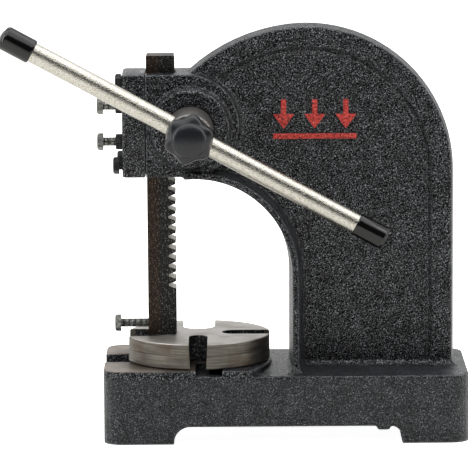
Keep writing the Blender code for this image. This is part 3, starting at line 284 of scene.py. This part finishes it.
def drawn_steel(name, axis, light, dark, roughness):
    """Drawn or turned steel, bright, with a fine darker grain that runs along its axis."""
    material, tree, shader, place = blank(name)
    along = Vector(axis).to_track_quat("X", "Z").to_euler()
    turned = add(tree, "ShaderNodeVectorRotate", {"Vector": place, "Rotation": along},
                 rotation_type="EULER_XYZ", invert=True).outputs[0]
    stretched = add(tree, "ShaderNodeMapping", {"Vector": turned, "Scale": (0.5, 1.0, 1.0)}).outputs[0]
    hair = add(tree, "ShaderNodeTexNoise", {
        "Vector": stretched, "Scale": per_metre(0.6), "Detail": 3.0}).outputs["Fac"]
    tone = add(tree, "ShaderNodeValToRGB", {"Fac": hair}, stops=(
        (0.36, dark), (0.52, light))).outputs["Color"]
    gloss = add(tree, "ShaderNodeMapRange", {
        "Value": hair, "From Min": 0.3, "From Max": 0.7,
        "To Min": roughness + 0.10, "To Max": roughness}).outputs[0]
    bump = add(tree, "ShaderNodeBump", {
        "Height": hair, "Distance": 0.24 * MM, "Strength": 1.0}).outputs["Normal"]
    feed(tree, shader, Base_Color=tone, Roughness=gloss, Normal=bump)
    shader.inputs["Metallic"].default_value = 1.0
    return material


def plated(name, light, dark, metallic, roughness):
    """A steel fastener under a thin finish, zinc or black oxide, that is a little cloudy."""
    material, tree, shader, place = blank(name)
    cloud = add(tree, "ShaderNodeTexNoise", {
        "Vector": place, "Scale": per_metre(1.8), "Detail": 4.0}).outputs["Fac"]
    tone = add(tree, "ShaderNodeValToRGB", {"Fac": cloud}, stops=(
        (0.35, dark), (0.62, light))).outputs["Color"]
    gloss = add(tree, "ShaderNodeMapRange", {
        "Value": cloud, "From Min": 0.3, "From Max": 0.7,
        "To Min": roughness + 0.15, "To Max": roughness}).outputs[0]
    bump = add(tree, "ShaderNodeBump", {
        "Height": cloud, "Distance": 0.04 * MM, "Strength": 0.6}).outputs["Normal"]
    feed(tree, shader, Base_Color=tone, Roughness=gloss, Normal=bump)
    shader.inputs["Metallic"].default_value = metallic
    return material


def moulded(name, tones, roughness, grain_size, relief):
    """Moulded plastic, phenolic or vinyl: one colour, with the mould's fine grain in its skin."""
    material, tree, shader, place = blank(name)
    grain = add(tree, "ShaderNodeTexNoise", {
        "Vector": place, "Scale": per_metre(grain_size), "Detail": 2.0}).outputs["Fac"]
    tone = add(tree, "ShaderNodeValToRGB", {"Fac": grain}, stops=(
        (0.40, tones[0]), (0.60, tones[1]))).outputs["Color"]
    gloss = add(tree, "ShaderNodeMapRange", {
        "Value": grain, "From Min": 0.3, "From Max": 0.7,
        "To Min": roughness + 0.06, "To Max": roughness - 0.04}).outputs[0]
    bump = add(tree, "ShaderNodeBump", {
        "Height": grain, "Distance": relief * MM, "Strength": 0.7}).outputs["Normal"]
    feed(tree, shader, Base_Color=tone, Roughness=gloss, Normal=bump)
    return material


def red_touch_up(name):
    """Red enamel dabbed over the raised marks by hand, so that black shows through in its pits and
    a worn pink on its tops."""
    material, tree, shader, place = blank(name)
    pits = add(tree, "ShaderNodeTexNoise", {
        "Vector": place, "Scale": per_metre(1.3), "Detail": 3.0}).outputs["Fac"]
    tone = add(tree, "ShaderNodeValToRGB", {"Fac": pits}, stops=(
        (0.36, "#2a1210"), (0.44, "#a3241d"), (0.58, "#c8382f"), (0.72, "#d9776c"))).outputs["Color"]
    bump = add(tree, "ShaderNodeBump", {
        "Height": pits, "Distance": 0.25 * MM, "Strength": 1.0}).outputs["Normal"]
    feed(tree, shader, Base_Color=tone, Normal=bump)
    shader.inputs["Roughness"].default_value = 0.38
    return material


def linked(name, mesh):
    obj = bpy.data.objects.new(name, mesh)
    bpy.context.scene.collection.objects.link(obj)
    return obj


def plain(obj):
    """The object with its modifiers turned into plain mesh."""
    bpy.context.view_layer.update()
    graph = bpy.context.evaluated_depsgraph_get()
    mesh = bpy.data.meshes.new_from_object(
        obj.evaluated_get(graph), preserve_all_data_layers=True, depsgraph=graph)
    obj.modifiers.clear()
    obj.data = mesh
    mesh.name = obj.name
    return obj


def merged_copy(node, name):
    """A copy of a CAD node's mesh with its flat faces in one piece again."""
    bm = bmesh.new()
    bm.from_mesh(frame["nodes"][node].data)
    bmesh.ops.remove_doubles(bm, verts=bm.verts, dist=1e-6)
    bmesh.ops.dissolve_limit(bm, angle_limit=math.radians(0.5), verts=bm.verts, edges=bm.edges)
    mesh = bpy.data.meshes.new(name)
    bm.to_mesh(mesh)
    bm.free()
    return linked(name, mesh)


def sand_cast(node, name, cell, passes, kept):
    """A cast node with the soft edges that a sand mould leaves, and with its feet ground flat: the
    mould's feet are deeper and are cut off at the floor. Kept is the share of faces that stay."""
    obj = merged_copy(node, name)
    for vertex in obj.data.vertices:
        if vertex.co.z < cell:
            vertex.co.z -= 4 * cell
    skin = obj.modifiers.new("Skin", "REMESH")
    skin.mode = "VOXEL"
    skin.voxel_size = cell
    soft = obj.modifiers.new("Soft", "SMOOTH")
    soft.factor = 0.5
    soft.iterations = passes
    fewer = obj.modifiers.new("Fewer", "DECIMATE")
    fewer.ratio = kept
    plain(obj)
    bm = bmesh.new()
    bm.from_mesh(obj.data)
    cut = bmesh.ops.bisect_plane(
        bm, geom=bm.verts[:] + bm.edges[:] + bm.faces[:], plane_co=(0, 0, 0), plane_no=(0, 0, 1),
        clear_inner=True)["geom_cut"]
    bmesh.ops.edgeloop_fill(bm, edges=[part for part in cut if isinstance(part, bmesh.types.BMEdge)])
    bm.to_mesh(obj.data)
    bm.free()
    obj.data.shade_smooth()
    obj.data.set_sharp_from_angle(angle=math.radians(60))
    return obj


def break_edges(obj, width, steps=2, limit=math.radians(30)):
    """Breaks the edges of a machined piece, so that they catch the light."""
    obj.data.shade_smooth()
    obj.data.set_sharp_from_angle(angle=limit)
    bevel = obj.modifiers.new("Break", "BEVEL")
    bevel.width = width
    bevel.segments = steps
    bevel.limit_method = "ANGLE"
    bevel.angle_limit = limit
    bevel.harden_normals = True
    return plain(obj)


def finish_piece(obj, material, slot, body, *nodes):
    """The piece gets its material, rides on its body and stands for its CAD nodes."""
    obj.data.materials.clear()
    obj.data.materials.append(material)
    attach(obj, body)
    if nodes:
        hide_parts(*nodes)
    return obj


def group(name, outlet, **inlets):
    """An empty Geometry Nodes group with its inputs, as type names, and one output of geometry."""
    tree = bpy.data.node_groups.new(name, "GeometryNodeTree")
    for title, kind in inlets.items():
        tree.interface.new_socket(title, in_out="INPUT", socket_type="NodeSocket" + kind)
    tree.interface.new_socket(outlet, in_out="OUTPUT", socket_type="NodeSocketGeometry")
    return tree, add(tree, "NodeGroupInput").outputs


def screw_group():
    """Geometry Nodes for a hexagon screw on each point: a head with a chamfered crown, and a shank
    with a helical thread. The screw lies along local Z, its head's seat at the point."""
    tree, given = group(
        "hexagon_screw", "Screws", Places="Geometry", Length="Float", Core="Float", Pitch="Float",
        Corners="Float", Chamfer="Float", Head="Float", Turn="Rotation", Finish="Material")
    length, core, pitch, head = (given[title] for title in ("Length", "Core", "Pitch", "Head"))

    half_head = add(tree, "ShaderNodeMath", {0: head, 1: 0.5}, operation="MULTIPLY").outputs[0]
    lift = add(tree, "ShaderNodeCombineXYZ", {"Z": half_head}).outputs[0]
    block = add(tree, "GeometryNodeMeshCylinder", {
        "Vertices": 6, "Radius": given["Corners"], "Depth": head}).outputs["Mesh"]
    raised = add(tree, "GeometryNodeTransform", {"Geometry": block, "Translation": lift}).outputs[0]
    wide = add(tree, "ShaderNodeMath", {0: given["Chamfer"], 1: 2.0}, operation="MULTIPLY").outputs[0]
    cone = add(tree, "GeometryNodeMeshCone", {
        "Vertices": 48, "Radius Bottom": wide, "Radius Top": given["Chamfer"],
        "Depth": head}).outputs["Mesh"]
    crowned = add(tree, "GeometryNodeMeshBoolean", {"Mesh 2": raised},
                  operation="INTERSECT", solver="EXACT")
    tree.links.new(cone, crowned.inputs["Mesh 2"])

    half_length = add(tree, "ShaderNodeMath", {0: length, 1: -0.5}, operation="MULTIPLY").outputs[0]
    down = add(tree, "ShaderNodeCombineXYZ", {"Z": half_length}).outputs[0]
    shank = add(tree, "GeometryNodeMeshCylinder", {
        "Vertices": 32, "Radius": core, "Depth": length}).outputs["Mesh"]
    hung = add(tree, "GeometryNodeTransform", {"Geometry": shank, "Translation": down}).outputs[0]

    climb = add(tree, "ShaderNodeMath", {0: length, 1: pitch}, operation="SUBTRACT").outputs[0]
    turns = add(tree, "ShaderNodeMath", {0: climb, 1: pitch}, operation="DIVIDE").outputs[0]
    helix = add(tree, "GeometryNodeCurveSpiral", {
        "Resolution": 24, "Rotations": turns, "Start Radius": core, "End Radius": core,
        "Height": climb}).outputs["Curve"]
    square = add(tree, "GeometryNodeCurvePrimitiveQuadrilateral", {
        "Width": pitch, "Height": pitch}, mode="RECTANGLE").outputs["Curve"]
    ridge = add(tree, "GeometryNodeTransform", {
        "Geometry": square, "Rotation": (0, 0, math.radians(45)), "Scale": (0.45, 0.66, 1)}).outputs[0]
    thread = add(tree, "GeometryNodeCurveToMesh", {
        "Curve": helix, "Profile Curve": ridge, "Fill Caps": True}).outputs["Mesh"]
    half_pitch = add(tree, "ShaderNodeMath", {0: pitch, 1: 0.5}, operation="MULTIPLY").outputs[0]
    tip = add(tree, "ShaderNodeMath", {0: half_pitch, 1: length}, operation="SUBTRACT").outputs[0]
    low = add(tree, "ShaderNodeCombineXYZ", {"Z": tip}).outputs[0]
    wound = add(tree, "GeometryNodeTransform", {"Geometry": thread, "Translation": low}).outputs[0]

    screw = add(tree, "GeometryNodeJoinGeometry", {"Geometry": crowned.outputs["Mesh"]})
    tree.links.new(hung, screw.inputs["Geometry"])
    tree.links.new(wound, screw.inputs["Geometry"])
    placed = add(tree, "GeometryNodeInstanceOnPoints", {
        "Points": given["Places"], "Instance": screw.outputs[0], "Rotation": given["Turn"]}).outputs[0]
    real = add(tree, "GeometryNodeRealizeInstances", {"Geometry": placed}).outputs[0]
    dressed = add(tree, "GeometryNodeSetMaterial", {
        "Geometry": real, "Material": given["Finish"]}).outputs[0]
    add(tree, "NodeGroupOutput", {"Screws": dressed})
    return tree


def row_group():
    """Geometry Nodes that repeat a mark in a row, each a step from the last."""
    tree, given = group("row_of_marks", "Row", Mark="Geometry", Count="Int", Step="Vector",
                        Finish="Material")
    line = add(tree, "GeometryNodeMeshLine", {"Count": given["Count"], "Offset": given["Step"]})
    placed = add(tree, "GeometryNodeInstanceOnPoints", {
        "Points": line.outputs[0], "Instance": given["Mark"]}).outputs[0]
    real = add(tree, "GeometryNodeRealizeInstances", {"Geometry": placed}).outputs[0]
    dressed = add(tree, "GeometryNodeSetMaterial", {
        "Geometry": real, "Material": given["Finish"]}).outputs[0]
    add(tree, "NodeGroupOutput", {"Row": dressed})
    return tree


def grow(obj, tree, **values):
    """Runs the group on the object, its inputs set through their sockets' identifiers."""
    modifier = obj.modifiers.new("Grow", "NODES")
    modifier.node_group = tree
    for item in tree.interface.items_tree:
        if item.in_out == "INPUT" and item.name in values:
            modifier[item.identifier] = values[item.name]
    return plain(obj)


def threaded(name, tree, nodes, material):
    """M6 hexagon screws that point backwards, one for each of these CAD nodes, in one mesh."""
    boxes = [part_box(node) for node in nodes]
    seats = [(low[0] + M6_HEAD, (low[1] + high[1]) / 2, (low[2] + high[2]) / 2) for low, high in boxes]
    low, high = boxes[0]
    points = bpy.data.meshes.new(name)
    points.from_pydata(seats, [], [])
    obj = grow(
        linked(name, points), tree, Length=high[0] - low[0] - M6_HEAD, Core=M6_RADIUS - M6_THREAD,
        Pitch=M6_PITCH, Corners=M6_FLATS / math.sqrt(3), Chamfer=M6_FLATS * 0.47, Head=M6_HEAD,
        Turn=(0, -math.pi / 2, 0), Finish=material)
    obj.data.shade_smooth()
    obj.data.set_sharp_from_angle(angle=math.radians(28))
    return obj


def cast_mark(name, outline, centre, rise):
    """A mark that stands up from the web's near face, its outline given around its centre."""
    bm = bmesh.new()
    loops = []
    for depth in (-rise, rise):
        loops.append([bm.verts.new((centre[0] + x, centre[1] + depth, centre[2] + z)) for x, z in outline])
    bm.faces.new(loops[0])
    bm.faces.new(loops[1][::-1])
    for i in range(len(outline)):
        j = (i + 1) % len(outline)
        bm.faces.new((loops[0][j], loops[0][i], loops[1][i], loops[1][j]))
    bmesh.ops.recalc_face_normals(bm, faces=bm.faces)
    mesh = bpy.data.meshes.new(name)
    bm.to_mesh(mesh)
    bm.free()
    return break_edges(linked(name, mesh), rise * 0.45)


def joint(name):
    return next(j for j in frame["record"]["behaviour"]["joints"] if j["name"] == name)


table_low, table_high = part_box("work_table")
table_radius = (table_high[0] - table_low[0]) / 2
table_centre = joint("table_turn")["pos_m"]
front_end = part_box("frame_casting")[0][0]
middle_y = joint("pinion_turn")["pos_m"][1]

# The base's top, and the pad's depth under the table plate and its length from the front end.
BASE_TOP = 46 * MM
PAD_DEPTH, PAD_LENGTH = 0.4 * MM, 70 * MM
enamel = cast_enamel(
    "black_enamel_on_sand_casting", 0.80, 0.40, BASE_TOP,
    pad=(table_low[2] - PAD_DEPTH, front_end + PAD_LENGTH, table_centre, table_radius))
cover_enamel = cast_enamel("black_enamel_on_cast_cover", 0.80, 0.30, BASE_TOP)
plate_iron = turned_iron("faced_grey_iron", table_centre, table_radius - 2.5 * MM)
scale_steel = rusted_bar("hot_rolled_bar_with_rust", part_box("ram")[1][0])
hub_steel = drawn_steel("turned_hub_steel", (0, 1, 0), "#7c7a77", "#4a4744", 0.42)
bar_steel = drawn_steel("bright_drawn_bar", joint("handle_slide")["axis"], "#cfccc3", "#a5a193", 0.20)
zinc = plated("zinc_plated_steel", "#8b8c88", "#5a5b57", 1.0, 0.30)
black_oxide = plated("black_oxide_steel", "#2c2c2e", "#161617", 0.6, 0.36)
bronze = plated("oiled_bronze_strip", "#6b5132", "#3c2d1e", 1.0, 0.40)
phenolic = moulded("satin_phenolic", ("#0f1115", "#181b21"), 0.30, 0.9, 0.06)
vinyl = moulded("dipped_vinyl", ("#030304", "#060607"), 0.13, 2.5, 0.04)
touch_up = red_touch_up("red_enamel_touch_up")

casting = sand_cast("frame_casting", "cast_frame", 0.8 * MM, 2, 0.27)
finish_piece(casting, enamel, "black_paint", "frame", "frame_casting")
cover = break_edges(merged_copy("ram_cover", "cast_cover"), 0.35 * MM)
finish_piece(cover, cover_enamel, "black_paint", "frame", "ram_cover")

for node, width, material, slot, body in (
    ("ram", 0.35 * MM, scale_steel, "dark_bar_steel", "ram"),
    ("work_table", 0.4 * MM, plate_iron, "ground_iron", "table"),
    ("pinion_shaft", 0.3 * MM, hub_steel, "turned_steel", "pinion"),
    ("pinion_washer", 0.2 * MM, zinc, "plated_steel", "pinion"),
    ("pinion_screw", 0.25 * MM, black_oxide, "black_steel", "pinion"),
    ("handle_bar", 0.4 * MM, bar_steel, "bright_steel", "handle"),
    ("handle_cap_upper", 0.3 * MM, vinyl, "vinyl_black", "handle"),
    ("handle_cap_lower", 0.3 * MM, vinyl, "vinyl_black", "handle"),
    ("clamp_knob", 0.3 * MM, phenolic, "knob_black", "knob"),
    ("lock_nut_upper", 0.25 * MM, black_oxide, "black_steel", "frame"),
    ("lock_nut_lower", 0.25 * MM, black_oxide, "black_steel", "frame"),
):
    piece = break_edges(merged_copy(node, node + "_finished"), width)
    finish_piece(piece, material, slot, body, node)

for node, material in (("gib_strip", bronze), ("table_pin", zinc), ("knob_stud", zinc)):
    obj = frame["nodes"][node]
    obj.data.materials.clear()
    obj.data.materials.append(material)

M6_RADIUS, M6_PITCH, M6_THREAD = 3 * MM, 1 * MM, 0.32 * MM
M6_HEAD, M6_FLATS = 4.1 * MM, 10 * MM
screw_tree = screw_group()
cover_nodes = [f"cover_screw_{side}_{level}" for side in ("near", "far") for level in ("top", "bottom")]
for name, nodes, material, slot, body in (
    ("cover_screws", cover_nodes, black_oxide, "black_steel", "frame"),
    ("upper_adjuster", ["adjusting_screw_upper"], zinc, "plated_steel", "adjuster_upper"),
    ("lower_adjuster", ["adjusting_screw_lower"], zinc, "plated_steel", "adjuster_lower"),
    ("ram_clamp_screw", ["ram_set_screw"], zinc, "plated_steel", "ram_screw"),
):
    finish_piece(threaded(name, screw_tree, nodes, material), material, slot, body, *nodes)

# The casting's raised marks: three arrows that press down on a bar.
STROKE, RISE, STEP = 3.6 * MM, 1.3 * MM, 21 * MM
WEB_HALF_WIDTH = 11.3 * MM
MARK_MIDDLE, ARROW_HEIGHT, BAR_HEIGHT = 143.5 * MM, 218.3 * MM, 203.3 * MM
mark_face = middle_y - WEB_HALF_WIDTH
mark_middle = front_end + MARK_MIDDLE
ARROW = [(x * MM, z * MM) for x, z in (
    (1.8, 10), (1.8, 0), (7.2, 0), (0, -10), (-7.2, 0), (-1.8, 0), (-1.8, 10))]
arrows = cast_mark("arrow_marks", ARROW, (mark_middle - STEP, mark_face, ARROW_HEIGHT), RISE)
grow(arrows, row_group(), Count=3, Step=(STEP, 0, 0), Finish=touch_up)
finish_piece(arrows, touch_up, None, "frame")
half_bar = STEP + STROKE * 2
BAR = [(half_bar, -STROKE / 2), (-half_bar, -STROKE / 2), (-half_bar, STROKE / 2), (half_bar, STROKE / 2)]
bar_mark = cast_mark("bar_mark", BAR, (mark_middle, mark_face, BAR_HEIGHT), RISE)
finish_piece(bar_mark, touch_up, None, "frame")

REACH = 6.0
floor_mesh = bpy.data.meshes.new("studio_floor")
floor_mesh.from_pydata(
    [(x, y, 0) for x, y in ((-REACH, -REACH), (REACH, -REACH), (REACH, REACH), (-REACH, REACH))], [],
    [(0, 1, 2, 3)])
floor = linked("studio_floor", floor_mesh)
paper, tree, shader, _ = blank("white_paper_sweep")
shader.inputs["Base Color"].default_value = colour("#f4f3f0")
shader.inputs["Roughness"].default_value = 0.9
camera_ray = add(tree, "ShaderNodeLightPath").outputs["Is Camera Ray"]
lit = add(tree, "ShaderNodeMath", {0: camera_ray, 1: 0.97}, operation="MULTIPLY").outputs[0]
glow = add(tree, "ShaderNodeEmission", {"Strength": lit}).outputs[0]
both = add(tree, "ShaderNodeAddShader", {0: shader.outputs[0], 1: glow}).outputs[0]
tree.links.new(both, tree.nodes["Material Output"].inputs["Surface"])
floor_mesh.materials.append(paper)

world = bpy.data.worlds.new("studio")
bpy.context.scene.world = world
world.use_nodes = True
tree = world.node_tree
direction = add(tree, "ShaderNodeTexCoord").outputs["Generated"]
depth = add(tree, "ShaderNodeSeparateXYZ", {0: direction}).outputs["Y"]
walls = add(tree, "ShaderNodeMapRange", {
    "Value": depth, "From Min": -0.58, "From Max": 0.35, "To Min": 0.05, "To Max": 1.0},
    interpolation_type="SMOOTHSTEP").outputs[0]
seen = add(tree, "ShaderNodeLightPath").outputs["Is Camera Ray"]
strength = add(tree, "ShaderNodeMix", {"Factor": seen, "A": walls, "B": 1.0},
               data_type="FLOAT").outputs["Result"]
tree.nodes["Background"].inputs["Color"].default_value = (1, 1, 1, 1)
tree.links.new(strength, tree.nodes["Background"].inputs["Strength"])


def facing(place, target):
    """The matrix of a lamp or camera at this place that looks at the target."""
    look = (Vector(target) - Vector(place)).to_track_quat("-Z", "Y")
    return Matrix.Translation(place) @ look.to_matrix().to_4x4()


middle = (0, middle_y, 0.14)
for name, place, size, power, tint in (
    ("overhead", (0.1, -0.35, 1.5), (2.5, 1.7), 24, "#ffffff"),
    ("left_strip", (-1.5, -0.5, 0.8), (0.5, 1.4), 9, "#ffffff"),
    ("right_strip", (1.5, -0.2, 0.8), (0.5, 1.4), 7, "#fffaf2"),
):
    data = bpy.data.lights.new(name, "AREA")
    data.shape = "RECTANGLE"
    data.size, data.size_y = size
    data.energy = power
    data.color = colour(tint)[:3]
    lamp = linked(name, data)
    lamp.matrix_world = facing(place, middle)

DISTANCE = 2.61
PITCH = math.radians(8.7)
ROLL = math.radians(-0.42)
TARGET = Vector((front_end + 89.2 * MM, middle_y, 134.4 * MM))
camera_data = bpy.data.cameras.new("photograph")
camera_data.lens = 294
camera_data.clip_end = 50
camera = linked("photograph", camera_data)
camera.matrix_world = (
    Matrix.Translation(TARGET) @ Matrix.Rotation(math.pi / 2 - PITCH, 4, "X")
    @ Matrix.Translation((0, 0, DISTANCE)) @ Matrix.Rotation(ROLL, 4, "Z"))
bpy.context.scene.camera = camera

bpy.context.scene.view_settings.view_transform = "Standard"
